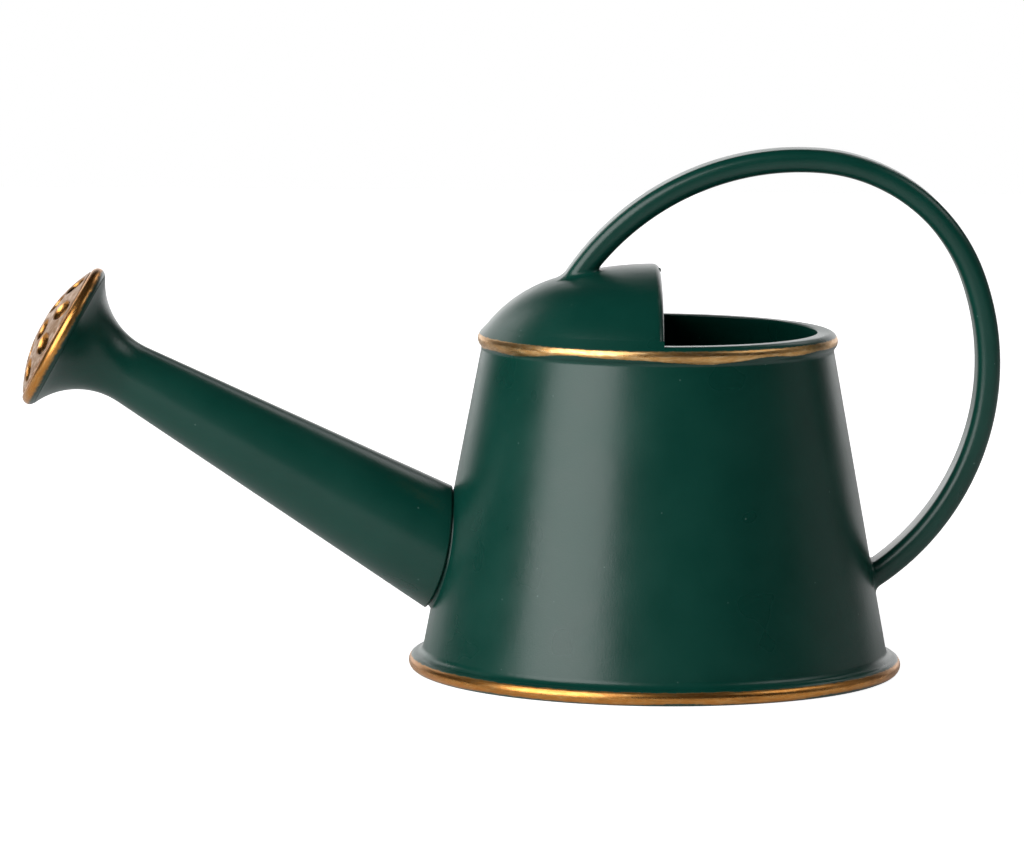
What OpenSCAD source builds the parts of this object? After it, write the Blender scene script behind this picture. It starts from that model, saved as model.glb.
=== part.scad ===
// Miniature watering can: conical body, half hood, long spout with a dimpled rose and an arched
// strap handle.  Millimetres, +Z up, origin at the centre of the underside.
// The spout points along -X and the handle stands on +X.

/* [Body] */
// Height of the flat top of the rim above the underside
rim_height = 32.7; // [31:0.1:34]
// Outer radius of the wall's cone at the underside
wall_foot_r = 22.6; // [22:0.1:23.5]
// Outer radius of the wall's cone at the rim
wall_rim_r = 16.5; // [16:0.1:17]
// Wall thickness, measured level
wall_t = 1.3; // [0.9:0.1:1.6]
// Thickness of the bottom plate
base_t = 1.0; // [0.8:0.1:2]

/* [Edge wires] */
// Radius of the round wire along the rim
rim_wire_r = 0.9; // [0.7:0.05:1.1]
// How far the rim wire stands out from the top of the wall
rim_overhang = 0.7; // [0.5:0.05:0.9]
// Radius of the round wire around the foot
foot_wire_r = 0.75; // [0.6:0.05:0.9]
// How far the foot wire stands out from the bottom of the wall
foot_overhang = 1.0; // [0.8:0.05:1.2]
// Radius of the hollow solder seam above the foot wire
foot_cove_r = 0.8; // [0.5:0.1:1.2]
// Radius of the hollow solder seam below the rim wire
rim_cove_r = 0.5; // [0.3:0.1:0.8]

/* [Hood] */
// Height of the hood's crown above the rim
hood_h = 6.2; // [5.6:0.1:6.8]
// Radius of curvature of the crown
crown_r = 34.3; // [32:0.1:38]
// Distance from the axis at which the crown meets the shoulder
crown_edge = 10; // [9:0.1:11]
// Radius of curvature of the shoulder
shoulder_r = 12.8; // [12:0.1:13.6]
// Thickness of the hood
hood_t = 1.1; // [0.8:0.05:1.2]
// Place of the hood's open edge along X
hood_edge_x = 0.15; // [-1:0.05:2]

/* [Spout] */
// Angle of the spout's centre line above level
spout_tilt = 28.9; // [27:0.1:31]
// Half of the angle between the spout's sides
spout_taper = 4.73; // [4.5:0.05:5]
// Place along X of the tip of the cone that the spout is part of
spout_tip_x = -81.5; // [-83:0.1:-80]
// Height of that tip
spout_tip_z = 45.3; // [44:0.1:46.5]
// Wall thickness of the spout and the rose
spout_t = 0.8; // [0.6:0.05:1]
// Width of the recessed joint between the spout and the body
joint_gap = 0.45; // [0.3:0.05:0.6]
// Depth of the recessed joint below the spout's skin
joint_depth = 0.35; // [0.2:0.05:0.5]

/* [Rose] */
// Distance of the rose's edge wire from the cone's tip, along the spout
rose_s = 28.3; // [27.5:0.05:28.8]
// Outer radius of the rose
rose_r = 7.35; // [7:0.05:7.7]
// Radius of the wire along the rose's edge
rose_wire_r = 0.7; // [0.5:0.05:0.8]
// Radius of the bell's hollow curve
bell_r = 6.9; // [6.6:0.1:7.2]
// Radius of the domed face
face_r = 14.4; // [13:0.1:17]
// Thickness of the face
face_t = 0.9; // [0.8:0.05:1.2]
// Radius of a dimple
dimple_r = 1.15; // [0.9:0.05:1.15]
// Depth of a dimple
dimple_depth = 0.55; // [0.3:0.05:0.6]
// Dimples in the inner ring
inner_dimples = 6; // [5:1:7]
// Dimples in the outer ring
outer_dimples = 9; // [8:1:10]

/* [Handle] */
// Thickness of the strap
strap_t = 2.2; // [1.8:0.05:2.4]
// Width of the strap, across the can
strap_w = 5.2; // [4:0.1:6.5]
// Radius of the strap's rounded edges
strap_edge_r = 0.95; // [0.4:0.05:1.05]
// Radius of the front arc, from the hood to the top
front_arc_r = 25.65; // [25.15:0.25:26.15]
// How much tighter the arc behind the top is
top_tighter = 8.75; // [8:0.25:9.5]
// How much wider the rear arc is than the one behind the top
rear_wider = 7.5; // [7:0.25:8]
// Size of the solder beads around the handle's feet
bead_size = 0.6; // [0.4:0.05:0.8]

/* [Hidden] */

paint = [0.06, 0.21, 0.17];
paint_inside = [0.04, 0.15, 0.12];
gilding = [0.75, 0.55, 0.27];
big = 60;
$fn = 96;

// Wall: slope, outer radius at a height, and the angle that its normal leans up
wall_slope = (wall_foot_r - wall_rim_r) / rim_height;
wall_lean = atan(wall_slope);
function wall_at(z) = wall_foot_r - wall_slope * z;

// Centres of the two edge wires in the [radius, height] plane
rim_c = [wall_rim_r + rim_overhang - rim_wire_r, rim_height - rim_wire_r];
foot_c = [wall_foot_r + foot_overhang - foot_wire_r, foot_wire_r];

// Centre of a cove that touches the wall and a wire; side is 1 above the wire and -1 below it
wall_n = [cos(wall_lean), sin(wall_lean)];
wall_up = [-sin(wall_lean), cos(wall_lean)];
function out_of_wall(p) = (p - [wall_foot_r, 0]) * wall_n;
function cove_rise(c, wire, cove) = sqrt(pow(cove + wire, 2) - pow(cove - out_of_wall(c), 2));
function cove_centre(c, wire, cove, side) =
    c + (cove - out_of_wall(c)) * wall_n + side * cove_rise(c, wire, cove) * wall_up;

// Hood: where the crown meets the shoulder, and the centres of both curves above the rim
crown_angle = asin(crown_edge / crown_r);
crown_cz = hood_h - crown_r;
shoulder_c = [
    crown_edge - shoulder_r * sin(crown_angle),
    crown_cz + (crown_r - shoulder_r) * cos(crown_angle)
];
hood_foot_r = shoulder_c[0] + sqrt(pow(shoulder_r, 2) - pow(shoulder_c[1], 2));

// Spout: radius at a distance from the cone's tip, and how far the root reaches
function spout_at(s) = s * tan(spout_taper);
spout_root_s = 76;
outlet_clear = 0.6;
// The bell's curve touches the cone at bell_s
bell_rise = bell_r * sin(spout_taper);
bell_s = rose_s + 7.5;
bell_c = [spout_at(bell_s) + bell_r * cos(spout_taper), bell_s - bell_rise];

// Rose face: its sphere's centre, and the rings that the dimples lie on
face_edge_r = rose_r - rose_wire_r;
face_lift = sqrt(pow(face_r, 2) - pow(face_edge_r, 2));
face_lead = 0.78;
face_cs = rose_s - face_lead + face_lift;
dimple_ball_r = (pow(dimple_r, 2) + pow(dimple_depth, 2)) / (2 * dimple_depth);
dimple_centre_r = face_r + dimple_ball_r - dimple_depth;
inner_ring = 0.41 * rose_r;
outer_ring = 0.714 * rose_r;

// Handle: three arcs in the XZ plane, tangent where they meet.  Each arc lies between two rays
// from its centre, and neighbours share a ray: 237, 3116, 3125 and 44, 117, 125 are the sides of
// right triangles, so that both rays are exact in short decimals.
front_arc_c = [13.5, 23.4];
front_ray = [237, 3116] / 3125;
rear_ray = [117, 44] / 125;
front_end_ray = [cos(151), sin(151)];
rear_end_ray = [cos(-60), sin(-60)];
top_arc_r = front_arc_r - top_tighter;
rear_arc_r = top_arc_r + rear_wider;
top_arc_c = front_arc_c + top_tighter * front_ray;
rear_arc_c = top_arc_c - rear_wider * rear_ray;
ray_length = 50;

// The filled cone of the body, from the underside to the rim
module body_cone() {
    cylinder(h = rim_height, r1 = wall_foot_r, r2 = wall_rim_r);
}

// The filled cone for trimming: it runs on above the rim and below the underside
module trim_cone() {
    reach = 8;
    translate([0, 0, -reach])
        cylinder(h = rim_height + 2 * reach, r1 = wall_at(-reach), r2 = wall_at(rim_height + reach));
}

// The wall's inside, in the [radius, height] plane, for trimming rings
module wall_half() {
    polygon([
        [0, -1],
        [wall_at(-1), -1],
        [wall_at(rim_height + 1), rim_height + 1],
        [0, rim_height + 1]
    ]);
}

// A wire's section, or the hollow of a bell or a face
module wire(c, r) {
    translate(c)
        circle(r, $fn = 360);
}

// The same with flat facets around it, for cutting seams thinner than an arc's own tolerance
module faceted_wire(c, r) {
    step = 7.5;
    reach = r / cos(step / 2);
    polygon([
        for (a = [0 : step : 360 - step])
            c + reach * [cos(a), sin(a)]
    ]);
}

// A solder cove between the wall and a wire
module cove(c, wire_r, cove_r, side) {
    f = cove_centre(c, wire_r, cove_r, side);
    difference() {
        polygon([
            c,
            f,
            f - (cove_r + wall_t / 2) * wall_n,
            c - out_of_wall(c) * wall_n - (wall_t / 2) * wall_n
        ]);
        faceted_wire(f, cove_r);
        faceted_wire(c, wire_r);
        wall_half();
    }
}

// Space below the hood's skin, in the [radius, height] plane; inset moves the skin inwards
module hood_half(inset) {
    split = crown_edge - inset * sin(crown_angle);
    intersection() {
        translate([0, crown_cz])
            circle(crown_r - inset, $fn = 720);
        square([split, hood_h]);
    }
    intersection() {
        translate(shoulder_c)
            circle(shoulder_r - inset, $fn = 720);
        translate([split, 0])
            square([shoulder_r, hood_h]);
    }
}

// The filled hood, or a thicker one when inset is negative
module hood_dome(inset) {
    translate([0, 0, rim_height])
        rotate_extrude()
            hood_half(inset);
}

// Everything on the spout's side of the hood's open edge
module hood_side(shift = 0) {
    translate([hood_edge_x + shift - big, -big / 2, rim_height - 2])
        cube([big, big, big / 2]);
}

// Moves a shape from the spout's own frame, with its tip at the origin and its root along +Z
module on_spout() {
    translate([spout_tip_x, 0, spout_tip_z])
        rotate([0, 90 + spout_tilt, 0])
            children();
}

// A tapered rod or tube on the spout's cone, inset from its skin
module spout_cone(s0, s1, inset) {
    translate([0, 0, s0])
        cylinder(h = s1 - s0, r1 = spout_at(s0) - inset, r2 = spout_at(s1) - inset);
}

// The strap's section: thickness along X and width along Y, with rounded edges
module strap_section(grow = 0) {
    half_t = strap_t / 2 + grow;
    half_w = strap_w / 2 + grow;
    e = strap_edge_r + grow;
    square([2 * half_t, 2 * (half_w - e)], center = true);
    square([2 * (half_t - e), 2 * half_w], center = true);
    for (x = [-1, 1], y = [-1, 1])
        translate([x * (half_t - e), y * (half_w - e)])
            circle(e, $fn = 32);
}

// One arc of the strap, about a centre in the XZ plane and between two rays
module strap_arc(c, r, ray_a, ray_b, grow = 0) {
    rotate([90, 0, 0])
        intersection() {
            translate([c[0], c[1], 0])
                rotate_extrude()
                    translate([r, 0])
                        strap_section(grow);
            linear_extrude(height = 2 * strap_w, center = true)
                polygon([
                    c,
                    c + ray_length * ray_a,
                    c + ray_length * (ray_a + ray_b),
                    c + ray_length * ray_b
                ]);
        }
}

// Tapered wall of the can, open at the rim and pierced where the spout joins it
module body_shell() {
    color(paint)
        difference() {
            body_cone();
            translate([0, 0, -1])
                cylinder(
                    h = rim_height + 2,
                    r1 = wall_at(-1) - wall_t,
                    r2 = wall_at(rim_height + 1) - wall_t
                );
            on_spout()
                spout_cone(spout_root_s - 16, spout_root_s, spout_t + outlet_clear);
        }
}

// Flat bottom plate inside the foot of the wall
module base_plate() {
    color(paint_inside)
        cylinder(h = base_t, r1 = wall_at(0) - wall_t, r2 = wall_at(base_t) - wall_t);
}

// Round wire along the outside of the rim, flush with its flat top
module rim_wire() {
    color(gilding)
        rotate_extrude()
            difference() {
                wire(rim_c, rim_wire_r);
                wall_half();
            }
}

// Solder seam below the rim wire
module rim_seam() {
    color(paint)
        rotate_extrude()
            cove(rim_c, rim_wire_r, rim_cove_r, -1);
}

// Round wire around the foot
module foot_wire() {
    color(gilding)
        rotate_extrude()
            difference() {
                wire(foot_c, foot_wire_r);
                wall_half();
            }
}

// Solder seam above the foot wire
module foot_seam() {
    color(paint)
        rotate_extrude()
            cove(foot_c, foot_wire_r, foot_cove_r, 1);
}

// Half dome over the front of the mouth
module hood() {
    color(paint)
        intersection() {
            difference() {
                hood_dome(0);
                hood_dome(hood_t);
            }
            hood_side();
        }
}

// Solder seam in the crease between the hood and the rim wire
module hood_seam() {
    seam_h = 0.55;
    wire_angle = 45;
    lift = shoulder_c[1];
    top_r = shoulder_c[0] + sqrt(pow(shoulder_r, 2) - pow(seam_h - lift, 2));
    color(paint)
        intersection() {
            rotate_extrude()
                difference() {
                    polygon([
                        [top_r, rim_height + seam_h],
                        rim_c + rim_wire_r * [cos(wire_angle), sin(wire_angle)],
                        [rim_c[0], rim_height - 0.3],
                        [top_r - 1, rim_height]
                    ]);
                    faceted_wire(rim_c, rim_wire_r);
                    wall_half();
                    translate([0, rim_height])
                        hood_half(0);
                }
            hood_side();
        }
}

// Tapered tube from the rose to the body
module spout_tube() {
    color(paint)
        difference() {
            on_spout()
                difference() {
                    spout_cone(bell_s, spout_root_s, 0);
                    spout_cone(bell_s - 1, spout_root_s + 1, spout_t);
                }
            translate([-joint_gap, 0, 0])
                trim_cone();
        }
}

// Recessed solder seam between the spout's root and the wall
module spout_seam() {
    color(paint_inside)
        difference() {
            intersection() {
                on_spout()
                    difference() {
                        spout_cone(spout_root_s - 16, spout_root_s, joint_depth);
                        spout_cone(spout_root_s - 17, spout_root_s + 1, spout_t);
                    }
                translate([-joint_gap, 0, 0])
                    trim_cone();
            }
            trim_cone();
        }
}

// Trumpet-shaped bell between the spout and the rose's edge
module rose_bell() {
    bell_edge_r = face_edge_r - 0.05;
    color(paint)
        on_spout()
            rotate_extrude()
                difference() {
                    intersection() {
                        translate([0, rose_s])
                            square([bell_edge_r, bell_s - rose_s]);
                        wire(bell_c, bell_r + spout_t);
                    }
                    wire(bell_c, bell_r);
                    wire([face_edge_r, rose_s], rose_wire_r);
                }
}

// Round wire along the edge of the rose
module rose_wire() {
    color(gilding)
        on_spout()
            translate([0, 0, rose_s])
                rotate_extrude()
                    translate([face_edge_r, 0])
                        circle(rose_wire_r);
}

// Cuts one dimple at an angle off the face's axis and an angle around it
module dimple(ring, around) {
    rotate([0, 0, around])
        rotate([0, -asin(ring / face_r), 0])
            translate([0, 0, -dimple_centre_r])
                sphere(dimple_ball_r, $fn = 48);
}

// Domed face with blind dimples in two rings around a middle one
module rose_face() {
    color(gilding)
        on_spout()
            difference() {
                rotate_extrude()
                    difference() {
                        intersection() {
                            wire([0, face_cs], face_r);
                            square([face_edge_r, rose_s]);
                        }
                        wire([0, face_cs], face_r - face_t);
                        wire([face_edge_r, rose_s], rose_wire_r);
                    }
                translate([0, 0, face_cs]) {
                    dimple(0, 0);
                    for (i = [0 : inner_dimples - 1])
                        dimple(inner_ring, 360 * (i + 0.5) / inner_dimples);
                    for (i = [0 : outer_dimples - 1])
                        dimple(outer_ring, 360 * i / outer_dimples);
                }
            }
}

// The front arc, down into the hood
module front_arc(grow = 0) {
    strap_arc(front_arc_c, front_arc_r, front_ray, front_end_ray, grow);
}

// The rear arc, down into the wall
module rear_arc(grow = 0) {
    strap_arc(rear_arc_c, rear_arc_r, rear_ray, rear_end_ray, grow);
}

// Arched strap from the hood over the mouth to the back of the body
module handle_strap() {
    color(paint)
        difference() {
            union() {
                front_arc();
                strap_arc(top_arc_c, top_arc_r, front_ray, rear_ray);
                rear_arc();
            }
            hood_dome(0);
            body_cone();
        }
}

// Solder bead around the strap's foot on the hood
module handle_front_seam() {
    color(paint)
        difference() {
            intersection() {
                front_arc(bead_size);
                hood_dome(-bead_size);
            }
            front_arc();
            hood_dome(0);
        }
}

// Solder bead around the strap's foot on the wall
module handle_rear_seam() {
    color(paint)
        difference() {
            intersection() {
                rear_arc(bead_size);
                translate([bead_size, 0, 0])
                    trim_cone();
            }
            rear_arc();
            trim_cone();
        }
}

body_shell();
base_plate();
rim_wire();
rim_seam();
foot_wire();
foot_seam();
hood();
hood_seam();
spout_tube();
spout_seam();
rose_bell();
rose_wire();
rose_face();
handle_strap();
handle_front_seam();
handle_rear_seam();
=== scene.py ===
"""Looks of a miniature gilded watering can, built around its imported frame.

The frame's axes hold throughout: +Z is up along the body's axis, the spout points along -X and the
handle stands on +X.  Pieces are worked out in millimetres and published in metres.
"""

import logging
import math
from collections.abc import Callable
from dataclasses import dataclass, field
from enum import Enum

import bmesh
import bpy
from mathutils import Matrix, Quaternion, Vector


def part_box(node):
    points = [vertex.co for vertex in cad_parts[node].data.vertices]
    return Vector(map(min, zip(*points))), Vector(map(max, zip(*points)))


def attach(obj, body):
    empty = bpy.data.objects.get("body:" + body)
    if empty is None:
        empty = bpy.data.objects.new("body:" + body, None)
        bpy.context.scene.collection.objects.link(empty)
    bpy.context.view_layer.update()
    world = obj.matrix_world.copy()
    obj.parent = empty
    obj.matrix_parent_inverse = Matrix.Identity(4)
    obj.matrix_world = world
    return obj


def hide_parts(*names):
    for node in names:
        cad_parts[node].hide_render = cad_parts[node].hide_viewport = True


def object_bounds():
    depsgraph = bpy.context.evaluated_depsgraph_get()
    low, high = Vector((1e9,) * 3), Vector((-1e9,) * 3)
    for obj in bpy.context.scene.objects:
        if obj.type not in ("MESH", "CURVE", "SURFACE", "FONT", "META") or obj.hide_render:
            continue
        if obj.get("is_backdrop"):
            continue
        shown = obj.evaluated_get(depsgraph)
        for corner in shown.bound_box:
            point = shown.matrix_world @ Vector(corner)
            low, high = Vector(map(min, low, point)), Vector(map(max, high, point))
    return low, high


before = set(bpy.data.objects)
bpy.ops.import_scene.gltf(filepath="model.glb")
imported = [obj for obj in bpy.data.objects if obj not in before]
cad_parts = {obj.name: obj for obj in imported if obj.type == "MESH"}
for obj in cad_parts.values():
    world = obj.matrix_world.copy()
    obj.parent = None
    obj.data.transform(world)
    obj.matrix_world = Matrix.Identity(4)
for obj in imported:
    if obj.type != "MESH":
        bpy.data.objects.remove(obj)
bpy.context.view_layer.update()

MM = 0.001
ROOT = "root"
DENT = "dent"
WELD = 1e-5
LOG = logging.getLogger("watering_can")

Mesh = bmesh.types.BMesh
Material = bpy.types.Material
Socket = bpy.types.NodeSocket
Groups = dict[str, bpy.types.NodeTree]
Pair = tuple[float, float]
Colour = tuple[float, float, float, float]
Value = Socket | float | tuple[float, ...]
Setting = str | bool | bpy.types.NodeTree
Station = Callable[[float], Vector]
Test = Callable[[Vector], bool]
DepthTest = Callable[[Vector, float], bool]


class Slot(Enum):
    """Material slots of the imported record."""

    PAINT = "green_paint"
    GOLD = "antique_gold"


# ---------------------------------------------------------------- lines shared by several pieces


def box_mm(node: str) -> tuple[Vector, Vector]:
    """Gives a CAD node's lowest and highest corners in millimetres.

    Args:
        node: Name of the CAD node.

    Returns:
        The two corners.
    """
    low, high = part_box(node)
    return low / MM, high / MM


@dataclass(frozen=True)
class WallLine:
    """Outside of the tapered wall, as a cone around the body's axis."""

    rim_overhang: float = 0.7
    height: float = field(default_factory=lambda: box_mm("body_shell")[1].z)
    foot_r: float = field(default_factory=lambda: box_mm("body_shell")[1].x)
    rim_outer_r: float = field(default_factory=lambda: box_mm("rim_wire")[1].x)

    @property
    def rim_r(self) -> float:
        """Radius of the cone at the rim."""
        return self.rim_outer_r - self.rim_overhang

    @property
    def slope(self) -> float:
        """How much the radius shrinks per unit of height."""
        return (self.foot_r - self.rim_r) / self.height

    @property
    def lean(self) -> float:
        """Angle that the wall's normal leans up, in radians."""
        return math.atan(self.slope)

    def radius(self, z: float) -> float:
        """Radius of the cone at a height."""
        return self.foot_r - self.slope * z

    def within(self, point: Vector, depth: float = 0.0, shift: float = 0.0) -> bool:
        """Tells whether a point lies inside the cone.

        Args:
            point: The point.
            depth: How far the cone is drawn in first.
            shift: How far the cone is moved towards the spout first.

        Returns:
            True inside the cone.
        """
        return math.hypot(point.x + shift, point.y) < self.radius(point.z) - depth


@dataclass(frozen=True)
class DomeLine:
    """Half outline of the hood: a flat crown arc that runs into a tighter shoulder arc."""

    crown_r: float = 34.3
    crown_edge: float = 10.0
    shoulder_r: float = 12.8
    base: float = field(default_factory=lambda: box_mm("body_shell")[1].z)
    top: float = field(default_factory=lambda: box_mm("hood")[1].z)

    @property
    def crown_z(self) -> float:
        """Height of the crown arc's centre."""
        return self.top - self.crown_r

    @property
    def shoulder(self) -> Pair:
        """Finds the shoulder arc's centre.

        Returns:
            Its radius and height.
        """
        angle = math.asin(self.crown_edge / self.crown_r)
        gap = self.crown_r - self.shoulder_r
        return (
            self.crown_edge - self.shoulder_r * math.sin(angle),
            self.crown_z + gap * math.cos(angle),
        )

    def foot_r(self, inset: float, sunk: float) -> float:
        """Radius where the outline, drawn in by inset, comes down to sunk below the rim."""
        r, z = self.shoulder
        return r + math.sqrt((self.shoulder_r - inset) ** 2 - (self.base - sunk - z) ** 2)

    def height(self, r: float, inset: float = 0.0) -> float:
        """Height of the outline above the underside.

        Args:
            r: Distance from the body's axis.
            inset: How far the outline is drawn in.

        Returns:
            The height.
        """
        split = self.crown_edge * (1 - inset / self.crown_r)
        if r <= split:
            return self.crown_z + math.sqrt((self.crown_r - inset) ** 2 - r * r)
        centre_r, centre_z = self.shoulder
        reach = self.shoulder_r - inset
        return centre_z + math.sqrt(max(reach**2 - (r - centre_r) ** 2, 0.0))

    def within(self, point: Vector, depth: float = 0.0) -> bool:
        """Tells whether a point lies under the outline drawn in by depth."""
        return point.z < self.height(math.hypot(point.x, point.y), depth)


@dataclass(frozen=True)
class SpoutLine:
    """Cone of the spout, from its tip at the frame's own origin towards its root along +Z.

    The wall is met between the two distances of root.
    """

    tilt: float = 28.9
    taper: float = 4.73
    tip_x: float = -81.5
    tip_z: float = 45.3
    rose_s: float = 28.3
    bell_s: float = 35.8
    root: Pair = (50.0, 76.0)

    @property
    def place(self) -> Matrix:
        """Takes the spout's own frame to the can's."""
        turn = Matrix.Rotation(math.radians(90 + self.tilt), 4, "Y")
        return Matrix.Translation((self.tip_x, 0, self.tip_z)) @ turn

    def radius(self, s: float) -> float:
        """Radius of the cone at a distance from its tip."""
        return s * math.tan(math.radians(self.taper))

    def at(self, s: float, turn: float, inset: float = 0.0) -> Vector:
        """Gives a point of the cone in the spout's own frame.

        Args:
            s: Distance from the tip.
            turn: Angle around the cone, in radians.
            inset: How far below the skin the point lies.

        Returns:
            The point.
        """
        r = self.radius(s) - inset
        return Vector((r * math.cos(turn), r * math.sin(turn), s))

    def meets(self, wall: WallLine, turn: float, inset: float, shift: float) -> float:
        """Finds where a line of the cone runs into the wall.

        Args:
            wall: The wall.
            turn: Angle around the cone, in radians.
            inset: How far below the skin the line runs.
            shift: How far the wall is moved towards the spout first.

        Returns:
            The distance from the tip.
        """
        near, far = self.root
        for _ in range(40):
            middle = (near + far) / 2
            if wall.within(self.place @ self.at(middle, turn, inset), shift=shift):
                far = middle
            else:
                near = middle
        return near


# ---------------------------------------------------------------- mesh tools


def arc(centre: Pair, radius: float, start: float, end: float, steps: int) -> list[Vector]:
    """Makes points along an arc in the XZ plane.

    Args:
        centre: The arc's centre, as X and Z.
        radius: Its radius.
        start: Angle of the first point above +X, in degrees.
        end: Angle of the last point.
        steps: Number of equal steps between them.

    Returns:
        The points, both ends included.
    """
    angles = [math.radians(start + (end - start) * i / steps) for i in range(steps + 1)]
    return [
        Vector((centre[0] + radius * math.cos(a), 0, centre[1] + radius * math.sin(a)))
        for a in angles
    ]


def spun(outline: list[Vector], steps: int, closed: bool = True) -> Mesh:
    """Spins an outline all the way around Z.

    Args:
        outline: Points in the XZ plane.
        steps: Number of faces around.
        closed: Whether the last point joins the first.

    Returns:
        The spun mesh, with its normals outwards.
    """
    bm = bmesh.new()
    verts = [bm.verts.new(p) for p in outline]
    edges = [bm.edges.new(pair) for pair in zip(verts, verts[1:])]
    if closed:
        edges.append(bm.edges.new((verts[-1], verts[0])))
    bmesh.ops.spin(
        bm,
        geom=verts + edges,
        cent=(0, 0, 0),
        axis=(0, 0, 1),
        angle=math.tau,
        steps=steps,
        use_merge=True,
    )
    bmesh.ops.remove_doubles(bm, verts=bm.verts, dist=WELD)
    bmesh.ops.recalc_face_normals(bm, faces=bm.faces)
    return bm


def lofted(stations: list[Station], segments: int) -> Mesh:
    """Extrudes a ring from station to station, and joins the last ring to the first.

    Args:
        stations: Each gives a ring's point for an angle in radians.
        segments: Number of points in a ring.

    Returns:
        The closed mesh, with its normals outwards.
    """
    bm = bmesh.new()
    bmesh.ops.create_circle(bm, cap_ends=False, radius=1, segments=segments)
    turn = bm.verts.layers.float.new("turn")
    ring = bm.verts[:]
    for v in ring:
        v[turn] = math.atan2(v.co.y, v.co.x)
        v.co = stations[0](v[turn])
    first = edges = bm.edges[:]
    for station in stations[1:]:
        made = bmesh.ops.extrude_edge_only(bm, edges=edges)["geom"]
        ring = {g for g in made if isinstance(g, bmesh.types.BMVert)}
        edges = [
            g for g in made if isinstance(g, bmesh.types.BMEdge) and ring.issuperset(g.verts)
        ]
        for v in ring:
            v.co = station(v[turn])
    bmesh.ops.bridge_loops(bm, edges=first + edges)
    bmesh.ops.recalc_face_normals(bm, faces=bm.faces)
    return bm


def nib(bm: Mesh, centre: Vector, size: Vector) -> None:
    """Adds a small rounded blob of paint.

    Args:
        bm: Mesh that gets the blob.
        centre: Its middle.
        size: Its half sizes along the axes.
    """
    place = Matrix.Translation(centre) @ Matrix.Diagonal((*size, 1))
    bmesh.ops.create_icosphere(bm, subdivisions=3, radius=1, matrix=place)


def publish(
    bm: Mesh,
    name: str,
    node: str,
    material: Material,
    slot: Slot,
    place: Matrix | None = None,
) -> bpy.types.Object:
    """Turns a finished bmesh into a piece that stands for a CAD node.

    Args:
        bm: The mesh, in millimetres; it is freed.
        name: Name of the piece.
        node: CAD node that it stands for.
        material: Its material.
        slot: Material slot of the record; not used.
        place: Takes the mesh's own frame to the can's.

    Returns:
        The piece.
    """
    to_metres = Matrix.Scale(MM, 4)
    bmesh.ops.transform(bm, matrix=to_metres @ (place or Matrix()), verts=bm.verts)
    mesh = bpy.data.meshes.new(name)
    bm.to_mesh(mesh)
    bm.free()
    mesh.shade_smooth()
    mesh.set_sharp_from_angle(angle=math.radians(42))
    mesh.materials.append(material)
    piece = bpy.data.objects.new(name, mesh)
    bpy.context.scene.collection.objects.link(piece)
    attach(piece, ROOT)
    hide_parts(node)
    LOG.info("%s: %d faces, for %s", name, len(mesh.polygons), node)
    return piece


# ---------------------------------------------------------------- finishes


class Bench:
    """Adds and joins the nodes of one node tree."""

    def __init__(self, tree: bpy.types.NodeTree) -> None:
        """Keeps the tree to work on."""
        self.tree = tree

    def add(
        self, kind: str, inputs: dict[str | int, Value] | None = None, **settings: Setting
    ) -> bpy.types.Node:
        """Adds a node.

        Args:
            kind: Type of the node.
            inputs: Values or output sockets for its inputs, by name or number.
            **settings: Its own settings.

        Returns:
            The node.
        """
        node = self.tree.nodes.new(kind)
        for name, value in settings.items():
            setattr(node, name, value)
        for key, value in (inputs or {}).items():
            if isinstance(value, Socket):
                self.tree.links.new(value, node.inputs[key])
            else:
                node.inputs[key].default_value = value
        return node

    def math(self, operation: str, *values: Value) -> Socket:
        """Adds a Math node and gives its output."""
        inputs = dict(enumerate(values))
        return self.add("ShaderNodeMath", inputs, operation=operation).outputs[0]

    def ramp(self, value: Value, low: Value, high: Value) -> Socket:
        """Adds a smooth step from 0 to 1.

        Args:
            value: What the step follows.
            low: Value where it starts.
            high: Value where it ends.

        Returns:
            The step's output.
        """
        inputs = {"Value": value, "From Min": low, "From Max": high}
        node = self.add("ShaderNodeMapRange", inputs, interpolation_type="SMOOTHSTEP")
        return node.outputs["Result"]

    def blend(self, mask: Value, low: Value, high: Value) -> Socket:
        """Mixes two numbers by a mask and gives the output."""
        inputs = {"Factor": mask, "A": low, "B": high}
        return self.add("ShaderNodeMix", inputs, data_type="FLOAT").outputs["Result"]

    def tint(self, mask: Value, low: Value, high: Value) -> Socket:
        """Mixes two colours by a mask and gives the output."""
        inputs = {0: mask, 6: low, 7: high}
        return self.add("ShaderNodeMix", inputs, data_type="RGBA").outputs[2]

    def noise(self, vector: Value, scale: Value, detail: float, rough: float) -> Socket:
        """Adds a noise texture and gives its value."""
        inputs = {"Vector": vector, "Scale": scale, "Detail": detail, "Roughness": rough}
        return self.add("ShaderNodeTexNoise", inputs).outputs["Fac"]


def new_group(name: str, inputs: dict[str, float | None], outputs: list[str]) -> Bench:
    """Makes a shader node group with named sockets.

    Args:
        name: Name of the group.
        inputs: Default value of each input; None makes it a vector.
        outputs: Names of its values.

    Returns:
        A bench on the group's tree.
    """
    tree = bpy.data.node_groups.new(name, "ShaderNodeTree")
    for key, value in inputs.items():
        kind = "NodeSocketVector" if value is None else "NodeSocketFloat"
        socket = tree.interface.new_socket(key, in_out="INPUT", socket_type=kind)
        if value is not None:
            socket.default_value = value
    for key in outputs:
        tree.interface.new_socket(key, in_out="OUTPUT", socket_type="NodeSocketFloat")
    return Bench(tree)


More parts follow.
